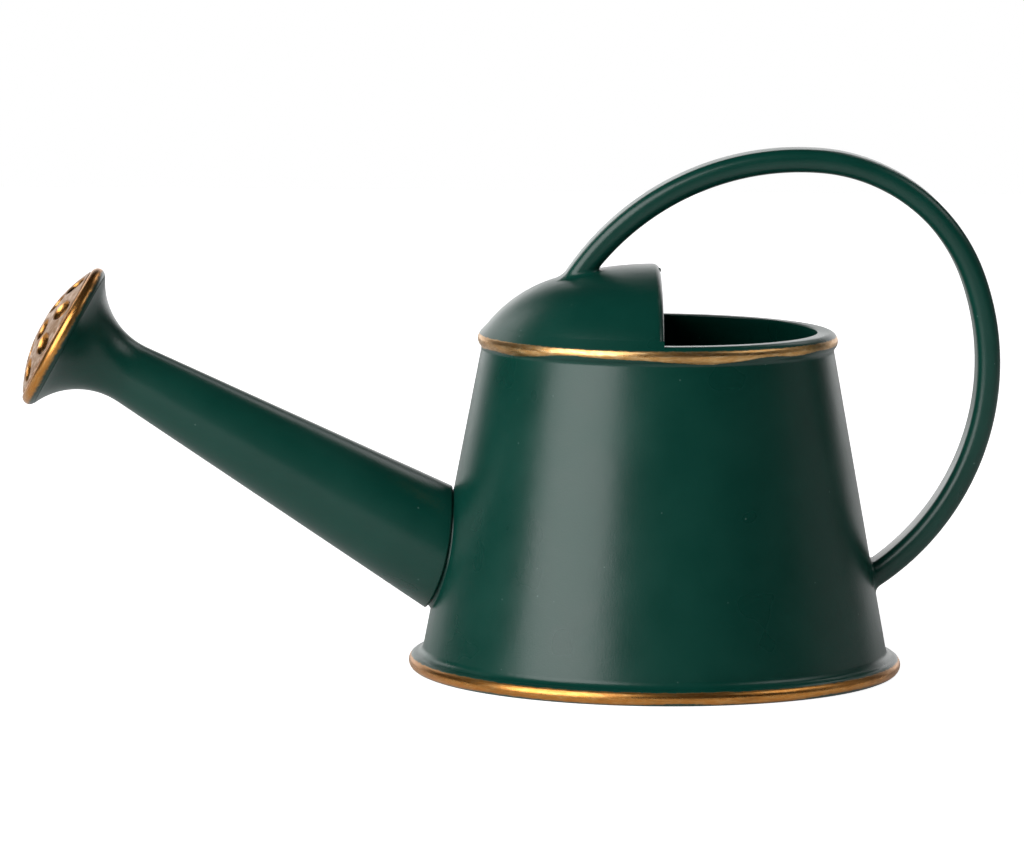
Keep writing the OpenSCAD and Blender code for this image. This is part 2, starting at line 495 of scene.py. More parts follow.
def paint_skin_group() -> bpy.types.NodeTree:
    """Makes the group for a sprayed coat: clouds of tone, fine orange peel and dust specks.

    Returns:
        The group.
    """
    bench = new_group("paint_skin", {"Vector": None, "Grain": 5.5}, ["Cloud", "Peel", "Dust"])
    given = bench.add("NodeGroupInput").outputs
    cloud = bench.noise(given["Vector"], 0.16, 2, 0.5)
    fine = bench.noise(given["Vector"], given["Grain"], 3, 0.6)
    broad = bench.noise(given["Vector"], 0.55, 2, 0.5)
    peel = bench.math("MULTIPLY_ADD", broad, 1.6, fine)
    inputs = {"Vector": given["Vector"], "Scale": 0.62, "Randomness": 1}
    cell = bench.add("ShaderNodeTexVoronoi", inputs).outputs
    near = bench.math("LESS_THAN", cell["Distance"], 0.055)
    colour = bench.add("ShaderNodeSeparateColor", {0: cell["Color"]}).outputs[0]
    dust = bench.math("MULTIPLY", near, bench.math("GREATER_THAN", colour, 0.72))
    bench.add("NodeGroupOutput", {"Cloud": cloud, "Peel": peel, "Dust": dust})
    return bench.tree


def brushed_band_group() -> bpy.types.NodeTree:
    """Makes the group for gold brushed on by hand: where it covers, and how much of it is rubbed away.

    Returns:
        The group.
    """
    inputs = {"Vector": None, "Across": 0.0, "Low": 0.0, "High": 1.0, "Ragged": 0.1, "Drift": 0.3}
    bench = new_group("brushed_band", inputs, ["Cover", "Streak", "Patina", "Fringe"])
    given = bench.add("NodeGroupInput").outputs
    inputs = {0: given["Vector"], 1: (1, 1, 5)}
    along = bench.add("ShaderNodeVectorMath", inputs, operation="MULTIPLY").outputs[0]
    wander = bench.math("SUBTRACT", bench.noise(given["Vector"], 1.3, 5, 0.7), 0.5)
    slow = bench.ramp(bench.noise(given["Vector"], 0.075, 1, 0.5), 0.34, 0.66)
    drift = bench.math("MULTIPLY", slow, given["Drift"])
    shift = bench.math("MULTIPLY", wander, bench.math("MULTIPLY", given["Ragged"], 5))
    across = bench.math("ADD", given["Across"], shift)
    rise = bench.math("SUBTRACT", bench.math("SUBTRACT", across, given["Low"]), drift)
    fall = bench.math("SUBTRACT", given["High"], across)
    inside = bench.math("MINIMUM", rise, fall)
    soft = bench.math("MULTIPLY", given["Ragged"], 1.1)
    cover = bench.ramp(inside, bench.math("MULTIPLY", soft, -1), soft)
    fringe = bench.math("SUBTRACT", 1, bench.ramp(inside, 0, 0.42))
    streak = bench.noise(along, 1.0, 6, 0.65)
    patina = bench.noise(along, 0.22, 4, 0.6)
    made = {"Cover": cover, "Streak": streak, "Patina": patina, "Fringe": fringe}
    bench.add("NodeGroupOutput", made)
    return bench.tree


@dataclass(frozen=True)
class Band:
    """Where gold lies on a piece: a stretch of height, or of distance along the spout.

    A piece with pressed dimples names the attribute that tells how deep they are.
    """

    low: float
    high: float
    ragged: float = 0.1
    drift: float = 0.0
    along_spout: bool = False
    dents: str = ""
    warm: bool = False


Finish = Callable[[str, Band | None], Material]


@dataclass(frozen=True)
class Enamel:
    """Satin green enamel, with or without a brushed band of gold."""

    shade: Colour = (0.0012, 0.039, 0.0275, 1)
    light_shade: Colour = (0.0024, 0.049, 0.035, 1)
    dust_shade: Colour = (0.05, 0.11, 0.09, 1)
    gold: Colour = (0.66, 0.35, 0.115, 1)
    pale_gold: Colour = (0.84, 0.58, 0.29, 1)
    warm_gold: Colour = (0.60, 0.25, 0.055, 1)
    umber: Colour = (0.15, 0.065, 0.02, 1)
    # Colours of the raised web on the dimpled face: rubbed gilding, lightened as a painted reflection
    # of the white surroundings seen at a grazing angle.
    wear_and_web_reflection: Colour = (0.36, 0.21, 0.12, 1)
    pale_web_reflection_and_wear: Colour = (0.68, 0.52, 0.40, 1)
    tarnish: Colour = (0.02, 0.028, 0.018, 1)
    specular: float = 0.42
    roughness: float = 0.29
    gold_roughness: float = 0.27
    web_roughness: float = 0.42
    dent_roughness: float = 0.25
    metallic: float = 0.97
    web_metallic: float = 0.45
    peel_depth: float = 0.009

    def material(self, name: str, groups: Groups, line: SpoutLine, band: Band | None) -> Material:
        """Makes the material.

        Args:
            name: Name of the material.
            groups: The shared node groups, by name.
            line: Line of the spout, whose frame a band may follow.
            band: Where gold lies, or None.

        Returns:
            The material.
        """
        made = bpy.data.materials.new(name)
        made.use_nodes = True
        bench = Bench(made.node_tree)
        shader = made.node_tree.nodes["Principled BSDF"]
        shader.inputs["Specular IOR Level"].default_value = self.specular
        where = bench.add("ShaderNodeTexCoord").outputs["Object"]
        mapped = bench.add("ShaderNodeMapping", {"Vector": where}, vector_type="TEXTURE")
        mapped.inputs["Scale"].default_value = (MM, MM, MM)
        if band is not None and band.along_spout:
            mapped.inputs["Location"].default_value = line.place.to_translation() * MM
            mapped.inputs["Rotation"].default_value = line.place.to_euler()
        vector = mapped.outputs[0]
        skin = bench.add("ShaderNodeGroup", {"Vector": vector}, node_tree=groups["skin"]).outputs
        tone = bench.ramp(skin["Cloud"], 0.1, 0.9)
        colour = bench.tint(tone, self.shade, self.light_shade)
        colour = bench.tint(skin["Dust"], colour, self.dust_shade)
        rough = bench.blend(tone, self.roughness - 0.03, self.roughness + 0.04)
        height = skin["Peel"]
        if band is not None:
            colour, rough, height = self.gild(bench, groups, vector, band, colour, rough, height)
        bench.tree.links.new(colour, shader.inputs["Base Color"])
        bench.tree.links.new(rough, shader.inputs["Roughness"])
        bump = bench.add("ShaderNodeBump", {"Strength": 1, "Height": height})
        bump.inputs["Distance"].default_value = self.peel_depth * MM
        bench.tree.links.new(bump.outputs[0], shader.inputs["Normal"])
        return made

    def gild(
        self, bench: Bench, groups: Groups, vector: Socket, band: Band, *under: Socket
    ) -> tuple[Socket, Socket, Socket]:
        """Lays the band of gold over the enamel.

        Args:
            bench: Bench on the material's tree.
            groups: The shared node groups, by name.
            vector: Place on the piece, in millimetres.
            band: Where the gold lies.
            *under: The enamel's colour, roughness and height.

        Returns:
            The colour, roughness and height with the gold on.
        """
        across = bench.add("ShaderNodeSeparateXYZ", {0: vector}).outputs["Z"]
        inputs = {"Vector": vector, "Across": across}
        inputs |= {"Low": band.low, "High": band.high}
        inputs |= {"Ragged": band.ragged, "Drift": band.drift}
        made = bench.add("ShaderNodeGroup", inputs, node_tree=groups["band"]).outputs
        streak = bench.ramp(made["Streak"], 0.38, 0.72)
        patina = bench.ramp(made["Patina"], 0.44, 0.70)
        shades = (self.warm_gold, self.gold) if band.warm else (self.gold, self.pale_gold)
        metal = bench.tint(streak, *shades)
        edge = bench.math("MULTIPLY", made["Fringe"], 0.32)
        dull = bench.math("MAXIMUM", bench.math("MULTIPLY", patina, 0.5), edge)
        metal = bench.tint(bench.math("MULTIPLY", dull, 0.85), metal, self.umber)
        wear_and_web_reflection = bench.ramp(made["Streak"], 0.2, 0.34)
        cover = bench.math("MULTIPLY", made["Cover"], wear_and_web_reflection)
        shader = bench.tree.nodes["Principled BSDF"]
        shine = bench.math("MULTIPLY", cover, self.metallic)
        colour, rough, height = under
        gold_rough = bench.blend(dull, self.gold_roughness, self.gold_roughness + 0.16)
        if band.dents:
            depth = bench.add("ShaderNodeAttribute", attribute_name=band.dents).outputs["Fac"]
            pit = bench.ramp(depth, 0.04, 0.30)
            # Painted reflection: the raised web between the dimples gets a pale colour standing in for
            # the white surroundings it mirrors at a grazing angle, mixed with rubbed gilding.
            web = bench.tint(streak, self.wear_and_web_reflection, self.pale_web_reflection_and_wear)
            spots = bench.ramp(bench.noise(vector, 0.55, 3, 0.6), 0.54, 0.68)
            metal = bench.tint(bench.math("MULTIPLY", spots, 0.85), metal, self.tarnish)
            metal = bench.tint(pit, web, metal)
            shine = bench.blend(pit, self.web_metallic, self.metallic)
            gold_rough = bench.blend(pit, self.web_roughness, self.dent_roughness)
        bench.tree.links.new(shine, shader.inputs["Metallic"])
        raised = bench.math("MULTIPLY_ADD", cover, 1.2, height)
        raised = bench.math("MULTIPLY_ADD", made["Streak"], 1.2, raised)
        return (
            bench.tint(cover, colour, metal),
            bench.blend(cover, rough, gold_rough),
            raised,
        )


# ---------------------------------------------------------------- sub-assemblies


@dataclass
class Body:
    """Tapered wall with its bottom, edge wires and solder seams."""

    finish: Finish
    wall: WallLine
    spout: SpoutLine
    thickness: float = 1.3
    base_thickness: float = 1.0
    rim_wire_r: float = 0.9
    foot_wire_r: float = 0.75
    foot_overhang: float = 1.0
    rim_cove_r: float = 0.5
    foot_cove_r: float = 0.8
    outlet_inset: float = 1.4
    lip_r: float = 0.2
    steps: int = 256
    rows: int = 40

    @property
    def rim_centre(self) -> Vector:
        """Centre of the rim wire's section."""
        return Vector((self.wall.rim_outer_r - self.rim_wire_r, 0, self.wall.height - self.rim_wire_r))

    @property
    def foot_centre(self) -> Vector:
        """Centre of the foot wire's section."""
        reach = self.wall.foot_r + self.foot_overhang
        return Vector((reach - self.foot_wire_r, 0, self.foot_wire_r))

    def build(self) -> None:
        """Builds every piece of the body."""
        rim_band = Band(self.wall.height - 1.7, self.wall.height - 0.4, 0.045, 0.8)
        foot_band = Band(0.15, 1.3, 0.05, 0.2, warm=True)
        wall_paint = self.finish("wall_enamel", None)
        publish(self.shell(), "wall", "body_shell", wall_paint, Slot.PAINT)
        publish(self.bottom(), "bottom", "base_plate", self.finish("bottom_enamel", None), Slot.PAINT)
        wire = self.ring(self.rim_centre, self.rim_wire_r)
        publish(wire, "rim_bead", "rim_wire", self.finish("rim_gilding", rim_band), Slot.GOLD)
        cove = self.cove(self.rim_centre, self.rim_wire_r, self.rim_cove_r, -1)
        publish(cove, "rim_cove", "rim_seam", self.finish("rim_cove_gilding", rim_band), Slot.PAINT)
        wire = self.ring(self.foot_centre, self.foot_wire_r)
        publish(wire, "foot_bead", "foot_wire", self.finish("foot_gilding", foot_band), Slot.GOLD)
        cove = self.cove(self.foot_centre, self.foot_wire_r, self.foot_cove_r, 1)
        publish(cove, "foot_cove", "foot_seam", self.finish("foot_enamel", foot_band), Slot.PAINT)

    def in_outlet(self, point: Vector) -> bool:
        """Tells whether a point of the wall lies in the opening behind the spout.

        Args:
            point: The point.

        Returns:
            True inside the opening.
        """
        local = self.spout.place.inverted() @ point
        hole = self.spout.radius(local.z) - self.outlet_inset
        return point.x < 0 and math.hypot(local.x, local.y) < hole

    def to_outlet_edge(self, point: Vector) -> Vector:
        """Moves a point of the wall to the edge of the opening behind the spout.

        Args:
            point: A point near the edge.

        Returns:
            The nearest point found on both the opening's cone and the wall.
        """
        for _ in range(4):
            local = self.spout.place.inverted() @ point
            hole = self.spout.radius(local.z) - self.outlet_inset
            grow = hole / math.hypot(local.x, local.y)
            point = self.spout.place @ Vector((local.x * grow, local.y * grow, local.z))
            fit = self.wall.radius(point.z) / math.hypot(point.x, point.y)
            point = Vector((point.x * fit, point.y * fit, point.z))
        return point

    def shell(self) -> Mesh:
        """Builds the wall: a spun sheet, pierced for the spout and then given its thickness.

        Returns:
            The mesh.
        """
        wall = self.wall
        levels = [wall.height * i / self.rows for i in range(self.rows)]
        sheet = [Vector((wall.radius(z), 0, z)) for z in levels]
        sheet.append(Vector((self.rim_centre.x, 0, wall.height)))
        bm = spun(sheet, self.steps, closed=False)
        hole = [f for f in bm.faces if all(self.in_outlet(v.co) for v in f.verts)]
        bmesh.ops.delete(bm, geom=hole, context="FACES")
        edge = {v for e in bm.edges if e.is_boundary for v in e.verts}
        for v in edge:
            if 1 < v.co.z < wall.height - 1:
                v.co = self.to_outlet_edge(v.co)
        made = bmesh.ops.extrude_face_region(bm, geom=bm.faces[:], use_keep_orig=True)["geom"]
        for v in (g for g in made if isinstance(g, bmesh.types.BMVert)):
            inner = wall.radius(v.co.z) - self.thickness
            v.co.xy = v.co.xy.normalized() * inner
        bmesh.ops.recalc_face_normals(bm, faces=bm.faces)
        level = {v for v in bm.verts if abs(v.co.z - wall.height) < WELD}
        corner = {v for v in level if v.co.xy.length < wall.rim_r - 1}
        lip = [e for e in bm.edges if corner.issuperset(e.verts)]
        bmesh.ops.bevel(
            bm,
            geom=lip,
            offset=self.lip_r,
            segments=4,
            profile=0.5,
            affect="EDGES",
            material=-1,
        )
        return bm

    def bottom(self) -> Mesh:
        """Builds the bottom plate, a disc with a softened lower edge.

        Returns:
            The mesh.
        """
        r = self.wall.foot_r - self.thickness
        soft = 0.25
        outline = [Vector((0, 0, 0)), Vector((r * 0.5, 0, 0))]
        outline += arc((r - soft, soft), soft, -90, 0, 4)
        top = self.wall.radius(self.base_thickness) - self.thickness + 0.1
        outline += [Vector((top, 0, self.base_thickness)), Vector((0, 0, self.base_thickness))]
        return spun(outline, self.steps, closed=False)

    def ring(self, centre: Vector, radius: float) -> Mesh:
        """Builds a round wire bent into a ring around the body.

        Args:
            centre: Centre of the wire's section.
            radius: Its radius.

        Returns:
            The mesh.
        """
        return spun(arc((centre.x, centre.z), radius, 0, 345, 23), self.steps)

    def cove(self, wire: Vector, wire_r: float, cove_r: float, side: int) -> Mesh:
        """Builds a hollow solder seam between the wall and a wire.

        Args:
            wire: Centre of the wire's section.
            wire_r: Radius of the wire.
            cove_r: Radius of the hollow.
            side: 1 above the wire and -1 below it.

        Returns:
            The mesh.
        """
        lean = self.wall.lean
        out = Vector((math.cos(lean), 0, math.sin(lean)))
        up = Vector((-math.sin(lean), 0, math.cos(lean)))
        offset = (wire - Vector((self.wall.foot_r, 0, 0))).dot(out)
        rise = math.sqrt((cove_r + wire_r) ** 2 - (cove_r - offset) ** 2)
        centre = wire + out * (cove_r - offset) + up * (side * rise)
        start = math.degrees(math.atan2(-out.z, -out.x))
        to_wire = wire - centre
        end = math.degrees(math.atan2(to_wire.z, to_wire.x))
        swing = (end - start + 180) % 360 - 180
        hollow = arc((centre.x, centre.z), cove_r, start, start + swing, 10)
        buried = hollow[0] - out * 0.4 + up * side * 0.1
        return spun([*hollow, wire.copy(), buried], self.steps)


@dataclass
class Hood:
    """Half dome over the front of the mouth, with the seam along its foot."""

    finish: Finish
    dome: DomeLine
    rim_centre: Vector
    rim_wire_r: float
    thickness: float = 1.1
    edge_x: float = field(default_factory=lambda: box_mm("hood")[1].x)
    edge_r: float = 0.62
    inner_edge_r: float = 0.22
    sunk: float = 0.12
    seam_h: float = 0.5
    across: int = 96
    along: int = 44
    bend: int = 7

    def build(self) -> None:
        """Builds the dome and its seam."""
        paint = self.finish("hood_enamel", None)
        publish(self.shell(), "hood_dome", "hood", paint, Slot.PAINT)
        publish(self.seam(), "hood_cove", "hood_seam", paint, Slot.PAINT)

    def spread(self, a: float, b: float, inset: float, start_x: float) -> Vector:
        """Places a point of a square grid on the half dome.

        Args:
            a: Place across the can, from -1 to 1.
            b: Place from the open edge, 0, to the foot, 1.
            inset: How far the skin is drawn in.
            start_x: Where the grid's first row lies along X.

        Returns:
            The point on the skin.
        """
        foot = self.dome.foot_r(inset, self.sunk)
        side = math.sqrt(foot**2 - start_x**2)
        unit_y = a * math.sqrt(1 - b * b / 2)
        unit_x = b * math.sqrt(1 - a * a / 2)
        y = unit_y * side
        span = math.sqrt(max(1 - unit_y**2, 0.0))
        share = unit_x / span if span > 1e-6 else 0.0
        x = start_x - share * (start_x + math.sqrt(foot**2 - y * y))
        return Vector((x, y, self.dome.height(min(math.hypot(x, y), foot), inset)))

    def stations(self) -> list[Station]:
        """Lists the rows of the hood, from the outer foot over the open edge to the inner foot.

        Returns:
            For each row, a function from the place across the can to a point.
        """
        outer_x = self.edge_x - self.edge_r
        inner_x = self.edge_x - self.inner_edge_r
        rows: list[Station] = []
        for i in range(self.along, 0, -1):
            rows.append(lambda a, b=i / self.along: self.spread(a, b, 0, outer_x))
        for i in range(self.bend + 1):
            angle = math.pi / 2 * i / self.bend
            inset = self.edge_r * (1 - math.cos(angle))
            x = outer_x + self.edge_r * math.sin(angle)
            rows.append(lambda a, t=inset, x=x: self.spread(a, 0, t, x))
        for i in range(self.bend + 1):
            angle = math.pi / 2 * i / self.bend
            inset = self.thickness - self.inner_edge_r * (1 - math.sin(angle))
            x = inner_x + self.inner_edge_r * math.cos(angle)
            rows.append(lambda a, t=inset, x=x: self.spread(a, 0, t, x))
        for i in range(1, self.along + 1):
            rows.append(lambda a, b=i / self.along: self.spread(a, b, self.thickness, inner_x))
        return rows

    def shell(self) -> Mesh:
        """Builds the dome from one grid that runs over its outside, open edge and inside.

        Returns:
            The mesh.
        """
        rows = self.stations()
        bm = bmesh.new()
        last = len(rows) - 1
        bmesh.ops.create_grid(bm, x_segments=self.across, y_segments=last, size=1)
        for v in bm.verts:
            row = round((v.co.y + 1) / 2 * last)
            v.co = rows[row](v.co.x)
        foot = [e for e in bm.edges if e.is_boundary]
        bmesh.ops.triangle_fill(bm, edges=foot, use_beauty=True)
        bmesh.ops.recalc_face_normals(bm, faces=bm.faces)
        middle = self.dome.height(0, 0.3)
        nib(bm, Vector((self.edge_x - 0.10, -1.1, middle - 0.12)), Vector((0.17, 0.3, 0.24)))
        return bm

    def seam(self) -> Mesh:
        """Builds the hollow seam in the crease between the hood and the rim wire.

        Returns:
            The mesh.
        """
        z = self.dome.base + self.seam_h
        r, centre_z = self.dome.shoulder
        top = Vector((r + math.sqrt(self.dome.shoulder_r**2 - (z - centre_z) ** 2), 0, z))
        low = arc((self.rim_centre.x, self.rim_centre.z), self.rim_wire_r, 45, 45, 1)[0]
        crease = Vector((self.dome.foot_r(0, 0) + 0.05, 0, self.dome.base + 0.02))
        hollow = [
            top * (1 - t) ** 2 + crease * (2 * t * (1 - t)) + low * t**2
            for t in (i / 6 for i in range(7))
        ]
        outline = [*hollow, low - Vector((0.5, 0, 0.3)), top - Vector((0.5, 0, 0.3))]
        bm = bmesh.new()
        verts = [bm.verts.new(p) for p in outline]
        bm.faces.new(verts)
        extra = math.asin(self.edge_x / top.x)
        to_start = Matrix.Rotation(math.pi / 2 - extra, 4, "Z")
        bmesh.ops.transform(bm, matrix=to_start, verts=bm.verts)
        bmesh.ops.spin(
            bm,
            geom=bm.verts[:] + bm.edges[:] + bm.faces[:],
            cent=(0, 0, 0),
            axis=(0, 0, 1),
            angle=math.pi + 2 * extra,
            steps=128,
        )
        bmesh.ops.recalc_face_normals(bm, faces=bm.faces)
        return bm


@dataclass
class Spout:
    """Tapered tube, and the sunk seam that joins it to the wall."""

    finish: Finish
    line: SpoutLine
    wall: WallLine
    thickness: float = 0.8
    gap: float = 0.45
    sunk: float = 0.35
    edge_r: float = 0.25
    rows: int = 40
    segments: int = 128

    def build(self) -> None:
        """Builds the tube and its seam."""
        paint = self.finish("spout_enamel", None)
        place = self.line.place
        publish(self.tube(), "spout_pipe", "spout_tube", paint, Slot.PAINT, place)
        publish(self.seam(), "spout_joint", "spout_seam", paint, Slot.PAINT, place)

    def open_gap(self, turn: float) -> float:
        """Gives the joint's width: widest below the spout and almost closed above it."""
        below = (1 + math.cos(turn)) / 2
        return self.gap * (0.25 + 0.75 * below)

    def row(self, share: float, inset: float, back: float) -> Station:
        """Makes a ring of the tube.

        Args:
            share: Place from the bell, 0, to the root, 1.
            inset: How far below the skin the ring lies.
            back: How far it stops short of the root.

        Returns:
            The ring's station.
        """

        def station(turn: float) -> Vector:
            """Gives a point of the ring.

            Args:
                turn: Angle around the tube, in radians.

            Returns:
                The point.
            """
            root = self.line.meets(self.wall, turn, inset, self.open_gap(turn)) - back
            s = self.line.bell_s + (root - self.line.bell_s) * share
            return self.line.at(s, turn, inset)

        return station

    def tube(self) -> Mesh:
        """Builds the tube: its skin, the rounded edge at its root and its inside.

        Returns:
            The mesh, in the spout's own frame.
        """
        rows = [self.row(i / self.rows, 0, self.edge_r) for i in range(self.rows + 1)]
        for i in range(1, 6):
            angle = math.pi / 2 * i / 5
            lost = self.edge_r * (1 - math.cos(angle))
            rows.append(self.row(1, lost, self.edge_r * (1 - math.sin(angle))))
        rows += [self.row(1 - i / 8, self.thickness, 0) for i in range(9)]
        return lofted(rows, self.segments)

    def seam(self) -> Mesh:
        """Builds the sunk seam, from inside the tube's wall into the can's.

        Returns:
            The mesh, in the spout's own frame.
        """

        def ring(inset: float, shift: float) -> Station:
            """Makes a ring at a depth below the skin and a distance from the wall."""
            return lambda turn: self.line.at(
                self.line.meets(self.wall, turn, inset, shift), turn, inset
            )

        rows = [ring(self.sunk, 0.7), ring(self.sunk, 0.2), ring(self.sunk - 0.1, 0.05)]
        rows += [ring(self.sunk - 0.2, -0.2), ring(self.thickness, -0.2), ring(self.thickness, 0.7)]
        return lofted(rows, self.segments)


@dataclass
class Rose:
    """Trumpet-shaped bell with its edge wire and dimpled face.

    The face's mesh tells its material how deep each point is pressed in, from 0 to 1.
    """

    finish: Finish
    line: SpoutLine
    edge_r: float = 6.65
    wire_r: float = 0.7
    bell_r: float = 6.9
    thickness: float = 0.8
    face_r: float = 14.4
    face_t: float = 0.9
    face_lead: float = 0.78
    dent_r: float = 1.17
    dent_depth: float = 0.55
    inner_ring: float = 3.01
    outer_ring: float = 5.25
    inner_count: int = 6
    outer_count: int = 9
    steps: int = 192
    grid: int = 200

    def build(self) -> None:
        """Builds the bell, its wire and its face."""
        s = self.line.rose_s
        edge_band = Band(0, s + 0.22, 0.14, 0, True, warm=True)
        face_band = Band(0, s + 20, 0.1, 0, True, DENT, True)
        paint = self.finish("bell_enamel", edge_band)
        gilding = self.finish("rose_edge_gilding", edge_band)
        gold = self.finish("rose_face_gilding", face_band)
        place = self.line.place
        publish(self.bell(), "rose_trumpet", "rose_bell", paint, Slot.PAINT, place)
        publish(self.wire(), "rose_bead", "rose_wire", gilding, Slot.GOLD, place)
        publish(self.face(), "rose_dome", "rose_face", gold, Slot.GOLD, place)

    def bell(self) -> Mesh:
        """Builds the bell, a hollow curve from the spout's cone out to the wire.

        Returns:
            The mesh, in the spout's own frame.
        """
        lean = math.radians(self.line.taper)
        s = self.line.bell_s
        centre = (
            self.line.radius(s) + self.bell_r * math.cos(lean),
            s - self.bell_r * math.sin(lean),
        )
        to_wire = math.atan2(centre[1] - self.line.rose_s, centre[0] - self.edge_r)
        last = 180 + math.degrees(to_wire)
        skin = arc(centre, self.bell_r, 180 - self.line.taper, last, 36)
        inside = arc(centre, self.bell_r + self.thickness, last, 180, 12)
        return spun([*skin, *inside], self.steps)

    def wire(self) -> Mesh:
        """Builds the wire along the edge.

        Returns:
            The mesh, in the spout's own frame.
        """
        return spun(arc((self.edge_r, self.line.rose_s), self.wire_r, 0, 342, 19), self.steps)

    def dents(self) -> list[Pair]:
        """Lists the dimples: one in the middle and two rings around it.

        Returns:
            Their places, as X and Y of the spout's own frame.
        """
        rings = ((self.inner_ring, self.inner_count, 0.5), (self.outer_ring, self.outer_count, 0))
        places = [(0.0, 0.0)]
        for r, count, start in rings:
            angles = [math.tau * (i + start) / count for i in range(count)]
            places += [(r * math.cos(a), r * math.sin(a)) for a in angles]
        return places

    def sag(self, x: float, y: float, dents: list[Pair]) -> float:
        """Gives how deep the face lies below its dome at a place.

        Args:
            x: Place along the spout frame's X.
            y: Place along Y.
            dents: The dimples' places.

        Returns:
            The depth.
        """
        depth = 0.0
        for at_x, at_y in dents:
            t = math.hypot(x - at_x, y - at_y) / self.dent_r
            if t < 1:
                depth = max(depth, self.dent_depth * (1 - t**3.5))
        return depth

    def face(self) -> Mesh:
        """Builds the domed face from a grid spread over a disc, with its dimples pressed in.

        Returns:
            The mesh, in the spout's own frame.
        """
        dents = self.dents()
        centre = self.line.rose_s - self.face_lead + math.sqrt(self.face_r**2 - self.edge_r**2)
        bm = bmesh.new()
        bmesh.ops.create_grid(bm, x_segments=self.grid, y_segments=self.grid, size=1)
        depth = bm.verts.layers.float.new(DENT)
        for v in bm.verts:
            a, b = v.co.xy
            x = self.edge_r * a * math.sqrt(1 - b * b / 2)
            y = self.edge_r * b * math.sqrt(1 - a * a / 2)
            dome = centre - math.sqrt(self.face_r**2 - x * x - y * y)
            tuck = 0.3 if max(abs(a), abs(b)) > 0.999 else 0.0
            v[depth] = self.sag(x, y, dents) / self.dent_depth
            v.co = (x, y, dome + tuck + v[depth] * self.dent_depth)
        made = bmesh.ops.extrude_face_region(bm, geom=bm.faces[:], use_keep_orig=True)["geom"]
        back = [g for g in made if isinstance(g, bmesh.types.BMVert)]
        bmesh.ops.translate(bm, vec=(0, 0, self.face_t), verts=back)
        bmesh.ops.recalc_face_normals(bm, faces=bm.faces)
        return bm


@dataclass(frozen=True)
class Arc:
    """One arc of the handle in the XZ plane, with its angles in degrees."""

    x: float
    z: float
    radius: float
    start: float
    end: float

    def at(self, out: float, y: float, angle: float) -> Vector:
        """Gives a point of the strap.

        Args:
            out: Distance outwards from the strap's middle.
            y: Place across the strap.
            angle: Angle around the arc's centre, in degrees.

        Returns:
            The point.
        """
        r = self.radius + out
        a = math.radians(angle)
        return Vector((self.x + r * math.cos(a), y, self.z + r * math.sin(a)))

    def pierce(self, out: float, y: float, buried: Test, free: float, deep: float) -> float:
        """Finds the angle where a line along the strap runs into a surface.

        Args:
            out: Distance of the line outwards from the strap's middle.
            y: Its place across the strap.
            buried: Tells whether a point is past the surface.
            free: An angle that isn't past it.
            deep: An angle that is.

        Returns:
            The angle, in degrees.
        """
        for _ in range(40):
            middle = (free + deep) / 2
            if buried(self.at(out, y, middle)):
                deep = middle
            else:
                free = middle
        return free


